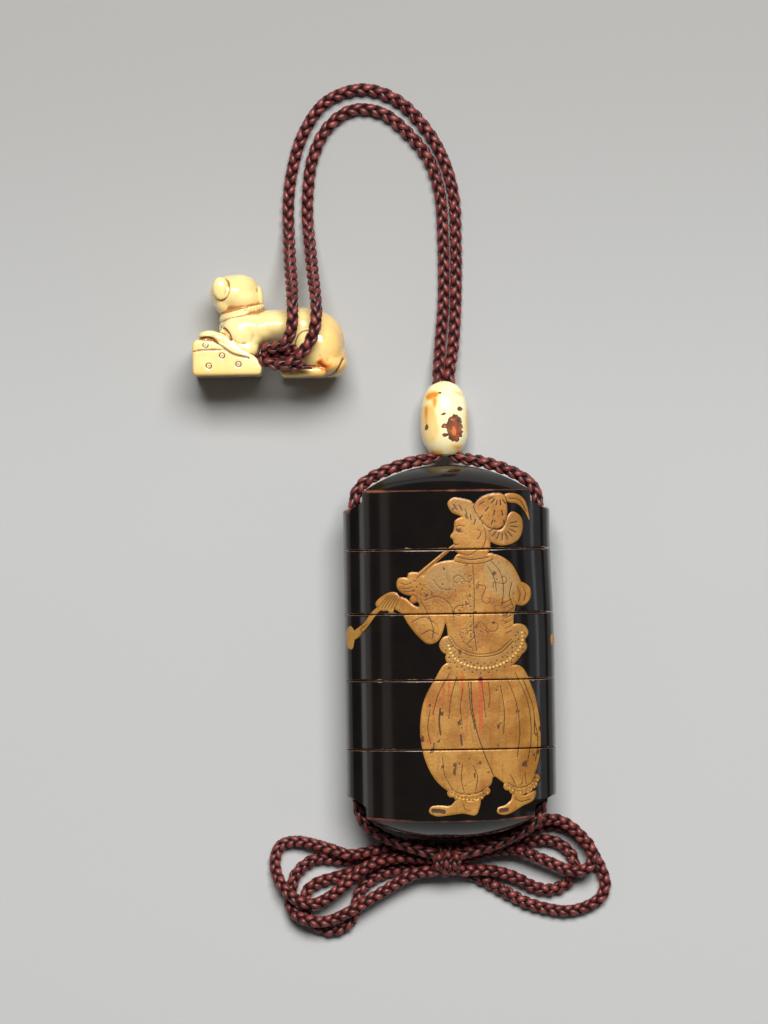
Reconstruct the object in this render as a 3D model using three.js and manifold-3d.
// An inro: a lacquered case of four stacked boxes and a lid, lying on its back.
// A silk cord runs through its side tunnels, is drawn together by a bead and carries a carved toggle,
// and is tied in a bow under the case. Millimetres, +Z up, the case's long axis along Y with the lid at +Y.
import * as THREE from 'three';
import { mergeVertices } from 'three/addons/utils/BufferGeometryUtils.js';
import Module from 'manifold-3d';

const wasm = await Module();
wasm.setup();

// ---- driving dimensions -------------------------------------------------------------------------

const GAP = 0.3;                                  // clearance between touching pieces

// The case, seen along its length: a shallow arch front and back, joined by rounded side bands.
const ARCH = { a: 25.4, b: 11.5, power: 2.3 };
const BACK_FLAT = 0.25;                           // depth of the worn flat that the case lies on
const AXIS_Z = ARCH.b - BACK_FLAT;                // height of the case's long axis
const BAND_X = 23.8;                              // where the arch meets the side band
const SIDE_X = 24.8;                              // half of the whole width

// Along its length: end rims, seams between the sections, and the domed ends.
const TOP_RIM = 38.6;
const BOTTOM_RIM = -39.4;
const TOP_RISE = 6.2;
const BOTTOM_RISE = 5.4;
const BOTTOM_BOW = 0.7;                           // the bottom rim curves down at its middle
const SEAMS = [24.6, 9.3, -6.5, -23.0];
const RIM_X = 19.5;                               // half-width of the ends between the shoulders
const TOP_SHOULDER = { inner: 36.0, outer: 34.2 };
const BOTTOM_SHOULDER = { inner: -36.6, outer: -34.6 };
const TUNNEL = { x: 22.0, r: 1.75 };

// Inside: the cavity, the lip that stands up from each box, and the floors.
const SOCKET = { a: 19.0, b: 9.9, power: 2.6 };
const LIP = { height: 4.5, wall: 0.9 };
const FLOOR = { above: 5.2, thick: 1.6 };
const BOTTOM_FLOOR = BOTTOM_RIM + 0.8;
const LID_CEILING = TOP_RIM + 3.2;
const LID_HOLLOW = { inset: 0.6, spring: 2.4, dome: 4.4, dome_x: 14.6, dome_z: 7.1 };

// The cord and what it carries.
const CORD = { d: 2.6, sides: 8 };
const STEPS = { hanger: 34, loop: 10 };           // straight steps along each stretch of cord
const BEAD = { y0: 48.0, y1: 65.2, r: 5.7, end: 3.7, bore: 1.8, pitch: 1.6, flat: 0.2 };
const TOGGLE = { x: -41.6, y: 78.3, thick: 20.6, flat: 0.35 };
const KNOT = { x: -0.8, y: -50.4, width: 5.2, length: 8.6, height: 9.0 };

// ---- materials ----------------------------------------------------------------------------------

const material = (color, roughness, metalness = 0) =>
  new THREE.MeshStandardMaterial({ color, roughness, metalness });
const LACQUER = material(0x14100f, 0.15);
const IVORY = material(0xeed9a4, 0.35);
const GLAZE = material(0xf0dcae, 0.2);
const SILK = material(0x6b2a2c, 0.7);

// ---- solids -------------------------------------------------------------------------------------

// A closed geometry as a solid for joining and cutting.
function solid(geometry) {
  geometry.deleteAttribute('normal');
  geometry.deleteAttribute('uv');
  const merged = mergeVertices(geometry, 1e-4);
  return new wasm.Manifold(new wasm.Mesh({
    numProp: 3,
    vertProperties: merged.attributes.position.array,
    triVerts: new Uint32Array(merged.index.array),
  }));
}

// A finished solid as a named mesh.
function piece(name, body, finish) {
  const { vertProperties, triVerts } = body.getMesh();
  const geometry = new THREE.BufferGeometry();
  geometry.setAttribute('position', new THREE.BufferAttribute(new Float32Array(vertProperties), 3));
  geometry.setIndex(new THREE.BufferAttribute(new Uint32Array(triVerts), 1));
  geometry.computeVertexNormals();
  const mesh = new THREE.Mesh(geometry, finish);
  mesh.name = name;
  return mesh;
}

const union = (bodies) => bodies.reduce((sum, body) => sum.add(body));

// Moves every vertex of a geometry by a rule (x, y, z) => [x, y, z].
function reshape(geometry, rule) {
  const p = geometry.attributes.position;
  for (let i = 0; i < p.count; i++) p.setXYZ(i, ...rule(p.getX(i), p.getY(i), p.getZ(i)));
  return geometry;
}

// A plan drawn in X and Z about the case's axis, extruded along Y from y0 to y1.
function alongY(points, y0, y1, steps = 1) {
  return new THREE.ExtrudeGeometry(new THREE.Shape(points), { depth: y1 - y0, steps, bevelEnabled: false })
    .rotateX(Math.PI / 2)
    .translate(0, y1, AXIS_Z);
}

// An outline drawn in X and Y, extruded upwards from z0 to z1.
function upright(points, z0, z1) {
  return new THREE.ExtrudeGeometry(new THREE.Shape(points), { depth: z1 - z0, bevelEnabled: false })
    .translate(0, 0, z0);
}

// The four corners of a rectangle about the origin, for cutting a flat.
const rectangle = (halfX, halfY) =>
  [[-halfX, -halfY], [halfX, -halfY], [halfX, halfY], [-halfX, halfY]].map((p) => new THREE.Vector2(...p));

function ellipsoid(centre, radii, around = 12, down = 8) {
  return new THREE.SphereGeometry(1, around, down).scale(...radii).translate(...centre);
}

// A limb with round ends that tapers from radius r0 at p to r1 at q.
function limb(p, q, r0, r1, around = 8) {
  const from = new THREE.Vector3(...p);
  const axis = new THREE.Vector3(...q).sub(from);
  const length = axis.length();
  const steps = 2;
  const profile = [];
  for (let i = 0; i <= steps; i++) {
    const t = (i / steps) * (Math.PI / 2);
    profile.push(new THREE.Vector2(i ? r0 * Math.sin(t) : 0, -r0 * Math.cos(t)));
  }
  for (let i = steps; i >= 0; i--) {
    const t = (i / steps) * (Math.PI / 2);
    profile.push(new THREE.Vector2(i ? r1 * Math.sin(t) : 0, length + r1 * Math.cos(t)));
  }
  const turn = new THREE.Quaternion().setFromUnitVectors(new THREE.Vector3(0, 1, 0), axis.normalize());
  return new THREE.LatheGeometry(profile, around).applyQuaternion(turn).translate(...p);
}

// ---- the case's plans ---------------------------------------------------------------------------

// Points round a superellipse, in X and Z.
function superellipse({ a, b, power }, count) {
  return Array.from({ length: count }, (_, i) => {
    const t = (i / count) * 2 * Math.PI;
    const [c, s] = [Math.cos(t), Math.sin(t)];
    return new THREE.Vector2(
      a * Math.sign(c) * Math.abs(c) ** (2 / power),
      b * Math.sign(s) * Math.abs(s) ** (2 / power),
    );
  });
}

// Half the case's depth at a distance x from its middle line.
const archDepth = (x) => ARCH.b * (1 - (Math.abs(x) / ARCH.a) ** ARCH.power) ** (1 / ARCH.power);

// The outline between the front arch, the back arch and the side at halfWidth, which bulges out by bulge.
function bodyPlan(halfWidth, bulge) {
  const across = 14;
  const bandSteps = 4;
  const points = [];
  for (const side of [1, -1]) {
    for (let i = 0; i <= across; i++) {
      const x = side * halfWidth * Math.cos((i / across) * Math.PI);
      points.push(new THREE.Vector2(x, side * archDepth(x)));
    }
    const depth = archDepth(halfWidth);
    for (let i = 1; i < bandSteps; i++) {
      const z = side * depth * (1 - (2 * i) / bandSteps);
      points.push(new THREE.Vector2(-side * (halfWidth + bulge * (1 - (z / depth) ** 2)), z));
    }
  }
  return points;
}

const BODY_PLAN = bodyPlan(BAND_X, SIDE_X - BAND_X);
const RIM_PLAN = bodyPlan(RIM_X - 0.1, 0.1);

// ---- the five sections --------------------------------------------------------------------------

// Half-chord left at height h of an arc of the given rise over the given half-chord.
function arcHalfChord(h, rise, halfChord) {
  const r = (halfChord ** 2 + rise ** 2) / (2 * rise);
  return Math.sqrt(Math.max(r ** 2 - (r - rise + h) ** 2, 0));
}

// A domed end on the rim plan, swelling from the rim towards direction +1 or -1 along Y.
function dome(rim, rise, direction) {
  const steps = 3;
  const root = 2;                                 // the dome reaches this far back into the body
  const plan = RIM_PLAN.map((p) => p.clone().multiplyScalar(0.985));
  const shape = alongY(plan, 0, 1, steps);
  reshape(shape, (x, y, z) => {
    const h = rise * 0.995 * Math.sin(y * Math.PI / 2);
    const kx = arcHalfChord(h, rise, RIM_X) / RIM_X;
    const kz = arcHalfChord(h, rise, ARCH.b) / ARCH.b;
    return [x * kx, y === 0 ? -root : h, AXIS_Z + (z - AXIS_Z) * kz];
  });
  if (direction < 0) shape.rotateZ(Math.PI);
  return solid(shape.translate(0, rim, 0));
}

// The rim end of the body between the shoulders, its edge bowed outwards at the middle.
function rimEnd(inner, rim, bow) {
  const shape = alongY(RIM_PLAN, Math.min(inner, rim), Math.max(inner, rim));
  return solid(reshape(shape, (x, y, z) => {
    const atRim = Math.abs(y - rim) < 1e-3;
    return [x, atRim ? y + Math.sign(rim) * bow * (1 - (x / RIM_X) ** 2) : y, z];
  }));
}

// The block that cuts both shoulders down to the tunnel mouths, beyond the sloping line inner-outer.
function shoulderCut({ inner, outer }, side) {
  const beyond = Math.sign(inner) * 60;
  const wide = 30;
  const slope = (outer - inner) / (SIDE_X - RIM_X);
  const outline = [
    [RIM_X, inner], [wide, inner + slope * (wide - RIM_X)], [wide, beyond], [RIM_X, beyond],
  ].map(([x, y]) => new THREE.Vector2(side * x, y));
  return solid(upright(outline, -1, 2 * AXIS_Z + 1));
}

function withTunnels(body) {
  for (const side of [1, -1]) {
    const bore = new THREE.CylinderGeometry(TUNNEL.r, TUNNEL.r, 140, 12);
    body = body.subtract(solid(bore.translate(side * TUNNEL.x, 0, AXIS_Z)));
  }
  return body;
}

const shrunk = (plan, by) => ({ a: plan.a - by, b: plan.b - by, power: plan.power });
const LIP_OUTSIDE = shrunk(SOCKET, GAP);
const CAVITY = shrunk(SOCKET, GAP + LIP.wall);
const RING_POINTS = 24;

// The lacquered shell of a section from y0 to y1, with its domed end where it has one.
function sectionShell(y0, y1, end) {
  let body;
  if (end === 'top') {
    body = solid(alongY(BODY_PLAN, y0, TOP_SHOULDER.inner))
      .add(rimEnd(TOP_SHOULDER.inner - 1, TOP_RIM, 0))
      .add(dome(TOP_RIM, TOP_RISE, 1));
  } else if (end === 'bottom') {
    body = solid(alongY(BODY_PLAN, BOTTOM_SHOULDER.inner, y1))
      .add(rimEnd(BOTTOM_SHOULDER.inner + 1, BOTTOM_RIM, BOTTOM_BOW))
      .add(dome(BOTTOM_RIM, BOTTOM_RISE, -1));
  } else {
    body = solid(alongY(BODY_PLAN, y0, y1));
  }
  for (const side of [1, -1]) {
    if (end === 'top') body = body.subtract(shoulderCut(TOP_SHOULDER, side));
    if (end === 'bottom') body = body.subtract(shoulderCut(BOTTOM_SHOULDER, side));
  }
  return body.subtract(solid(upright(rectangle(30, 60), -2, 0)));
}

const ringSolid = (plan, y0, y1) => solid(alongY(superellipse(plan, RING_POINTS), y0, y1));

// One box of the stack: its lip stands into the section above, its own socket takes the lip below.
function box(y0, y1, isBottom) {
  const floorTop = isBottom ? BOTTOM_FLOOR : y0 + FLOOR.above + FLOOR.thick;
  let body = sectionShell(y0, y1, isBottom ? 'bottom' : 'none')
    .add(ringSolid(LIP_OUTSIDE, y1 - 1, y1 + LIP.height))
    .subtract(ringSolid(CAVITY, floorTop, y1 + LIP.height + 1));
  if (!isBottom) body = body.subtract(ringSolid(SOCKET, y0 - 1, y0 + FLOOR.above));
  return withTunnels(body);
}

function lid(y0) {
  const { inset, spring, dome: rise, dome_x, dome_z } = LID_HOLLOW;
  const body = sectionShell(y0, TOP_RIM, 'top')
    .subtract(ringSolid(SOCKET, y0 - 1, y0 + FLOOR.above))
    .subtract(ringSolid(shrunk(CAVITY, inset), y0, LID_CEILING - spring))
    .subtract(solid(ellipsoid([0, LID_CEILING - rise, AXIS_Z], [dome_x, rise, dome_z], 14, 5)));
  return withTunnels(body);
}

// ---- the bead -----------------------------------------------------------------------------------

// A barrel-shaped bead whose bore holds two strands side by side. It lies on a small flat.
function bead() {
  const steps = 8;
  const half = (BEAD.y1 - BEAD.y0) / 2;
  const profile = [new THREE.Vector2(0, -half)];
  for (let i = 0; i <= steps; i++) {
    const t = (i / steps) * 2 - 1;
    const r = BEAD.end + (BEAD.r - BEAD.end) * (1 - Math.abs(t) ** 2.2) ** 0.8;
    profile.push(new THREE.Vector2(r, half * t));
  }
  profile.push(new THREE.Vector2(0, half));
  const stadium = new THREE.Shape()
    .absarc(BEAD.pitch, 0, BEAD.bore, -Math.PI / 2, Math.PI / 2)
    .absarc(-BEAD.pitch, 0, BEAD.bore, Math.PI / 2, 1.5 * Math.PI);
  const bore = new THREE.ExtrudeGeometry(stadium, { depth: 60, bevelEnabled: false, curveSegments: 6 })
    .rotateX(Math.PI / 2)
    .translate(0, 30, 0);
  return solid(new THREE.LatheGeometry(profile, 18))
    .subtract(solid(bore))
    .subtract(solid(upright(rectangle(9, 20), -20, BEAD.flat - BEAD.r)))
    .translate([0, (BEAD.y0 + BEAD.y1) / 2, BEAD.r - BEAD.flat]);
}

// ---- the toggle ---------------------------------------------------------------------------------

// A dog lying with its forepaws on a box, carved as one. It is drawn standing, in its own frame:
// x from the box to the tail, y from its base to its back, z from one flank to the other.
function toggle() {
  const t = TOGGLE.thick;
  const mid = t / 2;
  const base = -12.0;
  const sole = base + 1.2;                        // the middle of a foot that rests on the base
  const legs = [t - 3.6, 3.6];                    // the middle of each leg, from one flank to the other
  const chest = { x0: -18.5, x1: -2.2, top: -2.7 };          // the box under the paws
  const parts = [
    ellipsoid([-4.4, 0.2, mid], [8.2, 4.7, mid - 1.6]),          // shoulders and chest
    ellipsoid([4.0, 0.5, mid], [11.0, 4.4, mid - 1.8]),          // barrel of the body
    ellipsoid([8.6, -3.0, mid], [8.7, 7.9, mid - 0.1], 14, 9),         // haunches
    ellipsoid([11.4, -7.4, mid], [7.0, 4.8, mid - 0.7]),         // rump, down to the base
    limb([-7.0, 1.2, mid], [-8.2, 5.2, mid], 4.9, 4.2),                 // neck
    ellipsoid([-8.0, 8.2, mid], [5.7, 4.6, 5.6]),                // head
    ellipsoid([-9.3, 5.6, mid - 5.4], [3.0, 2.7, 3.6], 8, 6),          // muzzle, turned to the far flank
    ellipsoid([-11.9, 9.4, mid + 2.6], [2.0, 2.6, 2.2], 8, 6),         // near ear
    ellipsoid([-2.7, 7.7, mid + 1.4], [1.1, 2.6, 2.3], 8, 6),          // far ear
  ];
  const collar = new THREE.TorusGeometry(5.0, 0.8, 4, 12)
    .rotateX(Math.PI / 2).rotateZ(0.24).translate(-6.6, 3.6, mid);
  parts.push(collar);
  for (const z of legs) {
    parts.push(
      limb([-6.6, 0.4, z], [-5.2, -4.6, z], 3.4, 2.4),                              // upper foreleg
      limb([-5.4, -5.4, z], [-13.4, -1.8, z], 1.8, 1.2),                            // lower foreleg
      ellipsoid([-14.7, -1.7, z], [2.2, 1.2, 1.8], 8, 5),                          // paw
      limb([3.2, sole, z], [12.6, sole + 0.2, z], 1.15, 1.5),                 // hind foot
    );
  }
  parts.push(limb([16.4, -7.6, mid + 2], [13.6, sole, mid + 7], 1.6, 1.0));   // tail round the haunch
  const corner = 1.2;
  const outline = new THREE.Shape()
    .moveTo(chest.x0 + corner, base)
    .lineTo(chest.x1 - 0.8, base)
    .lineTo(chest.x1 + 0.5, base + 1.6)
    .lineTo(chest.x1 - 1.0, base + 5.0)
    .lineTo(-9.0, chest.top - 1.4)
    .lineTo(chest.x0 + corner, chest.top)
    .absarc(chest.x0 + corner, chest.top - corner, corner, Math.PI / 2, Math.PI)
    .lineTo(chest.x0, base + corner)
    .absarc(chest.x0 + corner, base + corner, corner, Math.PI, 1.5 * Math.PI);
  parts.push(new THREE.ExtrudeGeometry(outline, {
    depth: t - 4.4, bevelThickness: 0.8, bevelSize: 0.8, bevelOffset: -0.8, bevelSegments: 2, curveSegments: 3,
  }).translate(0, 0, 2.2));
  let body = union(parts.map(solid));

  // The line of the box's lid, cut round its ends and both faces.
  const lidLine = new THREE.BoxGeometry(7.5, 0.35, t).rotateZ(0.02).translate(-15.4, -5.6, mid);
  const lidCore = new THREE.BoxGeometry(10, 3, t - 4.6).translate(-13.1, -5.6, mid);
  body = body.subtract(solid(lidLine).subtract(solid(lidCore)));
  // The cord's way through under the belly, between the box and the hind feet.
  const passage = new THREE.BoxGeometry(4.2, 9, 2 * t).translate(0.7, -9.6, mid);
  body = body.subtract(solid(passage));
  // The worn flat that the toggle lies on.
  body = body.subtract(solid(upright(rectangle(40, 40), -5, TOGGLE.flat)));
  return body.translate([0, 0, -TOGGLE.flat]);
}

// ---- the cord -----------------------------------------------------------------------------------

// A plain round cord along points chosen in millimetres, as [x, y, z] of its middle line.
// The steps fall evenly between the points, so straight stretches with few points take few steps.
function cord(points, steps) {
  const path = new THREE.CatmullRomCurve3(points.map((p) => new THREE.Vector3(...p)), false, 'centripetal');
  path.getPointAt = path.getPoint;
  path.getTangentAt = path.getTangent;
  const section = new THREE.Shape(superellipse({ a: CORD.d / 2, b: CORD.d / 2, power: 2 }, CORD.sides));
  return solid(new THREE.ExtrudeGeometry(section, { extrudePath: path, steps, bevelEnabled: false }));
}

const FLOOR_Z = CORD.d / 2 + 0.1;                 // the middle line of a cord lying on the surface
const UPPER_Z = FLOOR_Z + CORD.d + GAP + 0.1;     // and of one lying across another

// From the toggle over its flank, round the arch on the surface, and through the bead.
const OUTER_HANGER = [
  [-42.6, 73.0, 17.4], [-40.6, 73.2, 20.0], [-38.4, 73.8, 22.0], [-36.6, 76.2, 23.0], [-36.0, 79.5, 23.3],
  [-36.0, 83.5, 21.8], [-36.2, 88.0, 16.0], [-36.7, 94.5, 8.5], [-37.0, 101.5, 3.0], [-37.0, 109.0, FLOOR_Z],
  [-36.0, 116.5, FLOOR_Z], [-33.2, 125.5, FLOOR_Z], [-27.6, 133.2, FLOOR_Z], [-18.7, 136.2, FLOOR_Z],
  [-10.3, 133.4, FLOOR_Z], [-3.6, 126.6, FLOOR_Z], [0.7, 118.9, FLOOR_Z], [3.0, 110.0, FLOOR_Z],
  [3.4, 99.6, FLOOR_Z], [3.2, 84.8, FLOOR_Z], [2.5, 73.5, 2.6], [1.6, 66.5, 5.5],
  [1.6, 56.0, 5.5], [1.6, 48.4, 5.5], [2.2, 46.9, 6.1], [4.6, 46.1, 8.0], [8.6, 45.5, 10.4], [12.8, 44.2, AXIS_Z],
  [17.0, 42.4, AXIS_Z], [20.2, 40.2, AXIS_Z], [21.7, 37.8, AXIS_Z], [22.0, 35.0, AXIS_Z],
  [22.0, -35.0, AXIS_Z], [21.8, -38.0, AXIS_Z], [20.6, -40.8, 11.2],
  [18.2, -43.0, 10.4], [14.8, -45.0, 9.4], [9.6, -47.1, 8.2], [3.2, -48.8, 7.7],
];
const INNER_HANGER = [
  [-42.0, 70.0, 17.4], [-40.2, 69.3, 19.6], [-37.6, 69.4, 21.2], [-34.8, 70.9, 22.2], [-32.4, 73.6, 22.9],
  [-30.9, 77.0, 23.2], [-30.3, 81.0, 22.6], [-30.5, 85.0, 20.0], [-31.2, 91.0, 12.5], [-31.8, 97.5, 6.0],
  [-32.4, 104.5, FLOOR_Z + 0.6], [-32.3, 110.6, FLOOR_Z], [-31.0, 119.4, FLOOR_Z], [-27.4, 126.8, FLOOR_Z],
  [-21.4, 131.1, FLOOR_Z], [-14.3, 130.5, FLOOR_Z], [-8.0, 125.6, FLOOR_Z], [-3.0, 119.2, FLOOR_Z],
  [-0.4, 111.0, FLOOR_Z], [0.3, 99.6, FLOOR_Z], [0.2, 84.8, FLOOR_Z], [-0.8, 73.5, 2.6], [-1.6, 66.5, 5.5],
  [-1.6, 56.0, 5.5], [-1.6, 48.4, 5.5], [-2.2, 46.9, 6.1], [-4.6, 46.1, 8.0], [-8.6, 45.5, 10.4],
  [-12.8, 44.2, AXIS_Z], [-17.0, 42.4, AXIS_Z], [-20.2, 40.2, AXIS_Z], [-21.7, 37.8, AXIS_Z],
  [-22.0, 35.0, AXIS_Z], [-22.0, -35.0, AXIS_Z], [-21.8, -38.0, AXIS_Z], [-20.6, -40.8, 11.2],
  [-18.2, -43.0, 10.4], [-14.8, -45.0, 9.4], [-9.8, -47.0, 8.3], [-4.8, -48.6, 7.7],
];
const TAIL = [[-35.4, 67.4, 20.4], [-33.8, 67.7, 20.6], [-32.2, 68.1, 20.6]];

// The bow's loops, each from the knot round and back to it, in the order they lie.
const LOOPS = {
  bow_left_upper: [
    [-4.2, -47.3, UPPER_Z], [-12.6, -46.8, UPPER_Z], [-18.5, -48.0, UPPER_Z], [-24.4, -49.0, 4.3],
    [-28.6, -47.7, 3.5], [-33.1, -46.4, 2.4], [-37.5, -45.7, 1.7], [-41.0, -46.7, FLOOR_Z],
    [-42.4, -50.0, FLOOR_Z], [-42.1, -53.4, 2.1], [-40.3, -56.8, 4.0], [-37.4, -59.6, 4.9], [-33.5, -60.7, 4.8],
    [-29.8, -59.3, UPPER_Z], [-25.9, -56.4, UPPER_Z], [-22.1, -53.5, UPPER_Z], [-18.3, -51.0, UPPER_Z],
    [-13.0, -49.9, UPPER_Z], [-4.2, -50.3, UPPER_Z],
  ],
  bow_left_middle: [
    [-4.2, -47.4, FLOOR_Z], [-14.0, -47.5, FLOOR_Z], [-19.0, -48.8, FLOOR_Z], [-25.0, -50.4, FLOOR_Z],
    [-32.0, -49.9, FLOOR_Z], [-35.4, -51.6, FLOOR_Z], [-37.7, -54.2, FLOOR_Z], [-38.6, -57.6, FLOOR_Z],
    [-39.0, -60.8, 1.9], [-37.6, -63.4, 3.3], [-34.0, -64.9, 4.5], [-29.9, -64.9, UPPER_Z],
    [-24.5, -62.7, UPPER_Z], [-20.1, -60.2, 4.0], [-15.7, -57.6, 4.0], [-11.0, -54.9, UPPER_Z],
    [-7.0, -53.4, UPPER_Z], [-4.2, -53.2, UPPER_Z],
  ],
  bow_left_lower: [
    [-4.2, -53.2, FLOOR_Z], [-10.0, -52.9, FLOOR_Z], [-14.6, -53.3, FLOOR_Z], [-18.8, -55.1, FLOOR_Z],
    [-21.7, -57.8, FLOOR_Z], [-22.9, -61.0, FLOOR_Z], [-23.6, -64.0, FLOOR_Z], [-25.6, -66.4, FLOOR_Z],
    [-28.9, -67.5, FLOOR_Z], [-32.2, -66.6, FLOOR_Z], [-34.4, -64.2, FLOOR_Z], [-35.2, -61.0, FLOOR_Z],
    [-34.9, -58.0, FLOOR_Z], [-32.4, -55.9, FLOOR_Z], [-28.5, -54.7, FLOOR_Z], [-24.0, -53.5, FLOOR_Z],
    [-18.6, -52.0, FLOOR_Z], [-13.0, -50.4, FLOOR_Z], [-4.2, -50.3, FLOOR_Z],
  ],
  bow_right_upper: [
    [2.6, -50.2, UPPER_Z], [7.0, -49.1, UPPER_Z], [12.0, -48.2, UPPER_Z], [16.0, -48.3, UPPER_Z],
    [20.0, -49.8, UPPER_Z], [24.5, -51.7, UPPER_Z], [28.4, -53.4, UPPER_Z], [31.4, -53.7, UPPER_Z],
    [33.6, -52.4, UPPER_Z], [34.4, -50.2, UPPER_Z], [33.6, -47.6, UPPER_Z], [31.6, -45.2, UPPER_Z],
    [29.0, -42.8, UPPER_Z], [25.8, -41.2, UPPER_Z], [22.6, -41.3, UPPER_Z], [19.0, -43.0, UPPER_Z],
    [13.4, -45.0, UPPER_Z], [7.0, -46.1, UPPER_Z], [2.6, -47.2, UPPER_Z],
  ],
  bow_right_middle: [
    [2.6, -50.3, FLOOR_Z], [8.0, -48.7, FLOOR_Z], [13.4, -47.5, FLOOR_Z], [19.0, -46.6, FLOOR_Z],
    [22.8, -46.2, FLOOR_Z], [25.8, -46.9, FLOOR_Z], [28.2, -48.6, FLOOR_Z], [29.7, -50.8, FLOOR_Z],
    [29.9, -53.4, FLOOR_Z], [28.8, -55.9, FLOOR_Z], [26.4, -57.7, FLOOR_Z], [23.2, -58.3, FLOOR_Z],
    [19.5, -57.2, 1.7], [15.8, -55.2, 2.3], [11.6, -53.7, 3.1], [7.6, -53.1, 4.0], [2.6, -53.1, UPPER_Z],
  ],
  bow_right_lower: [
    [2.6, -53.2, FLOOR_Z], [8.4, -55.9, FLOOR_Z], [13.3, -58.7, FLOOR_Z], [18.2, -61.3, FLOOR_Z],
    [23.1, -62.8, FLOOR_Z], [28.1, -63.5, FLOOR_Z], [33.0, -62.4, FLOOR_Z], [36.4, -60.1, FLOOR_Z],
    [37.4, -57.0, FLOOR_Z], [36.6, -53.8, FLOOR_Z], [35.2, -50.8, FLOOR_Z], [33.4, -47.8, FLOOR_Z],
    [31.2, -45.4, FLOOR_Z], [28.4, -43.4, FLOOR_Z], [25.2, -42.4, FLOOR_Z], [21.0, -43.0, FLOOR_Z],
    [14.0, -44.5, FLOOR_Z], [8.0, -45.8, FLOOR_Z], [2.6, -47.4, FLOOR_Z],
  ],
};

// The bow's knot: two turns of cord round the crossing strands, drawn as one lumpy body.
function bowKnot() {
  const { width, length, height } = KNOT;
  const parts = [ellipsoid([0, 0, height / 2], [width / 2 - 0.2, length / 2 - 0.5, height / 2 - 0.4], 8, 6)];
  const r = CORD.d / 2;
  for (const side of [1, -1]) {
    parts.push(new THREE.TorusGeometry(1, r / (length / 2 - r), 6, 12)
      .rotateY(Math.PI / 2)
      .scale(length / 2 - r, length / 2 - r, height / 2 - r)
      .rotateZ(side * 0.12)
      .translate(side * (width / 2 - r), 0, height / 2 + 0.1));
  }
  return union(parts.map(solid));
}

// ---- the set ------------------------------------------------------------------------------------

const set = new THREE.Group();
const halfGap = GAP / 2;
set.add(piece('lid', lid(SEAMS[0] + halfGap), LACQUER));
SEAMS.forEach((top, i) => {
  const isBottom = i === SEAMS.length - 1;
  const bottom = isBottom ? BOTTOM_RIM : SEAMS[i + 1] + halfGap;
  set.add(piece(`case_${i + 1}`, box(bottom, top - halfGap, isBottom), LACQUER));
});
set.add(piece('ojime_bead', bead(), GLAZE));

const netsuke = piece('netsuke_dog', toggle(), IVORY);
netsuke.position.set(TOGGLE.x, TOGGLE.y, 0);
set.add(netsuke);

const knot = piece('bow_knot', bowKnot(), SILK);
knot.position.set(KNOT.x, KNOT.y, 0);
set.add(knot);

set.add(piece('cord_right', cord(OUTER_HANGER, STEPS.hanger), SILK));
set.add(piece('cord_left', cord(INNER_HANGER, STEPS.hanger), SILK));
set.add(piece('cord_tail', cord(TAIL, 2), SILK));
for (const [name, points] of Object.entries(LOOPS)) set.add(piece(name, cord(points, STEPS.loop), SILK));

export default set;
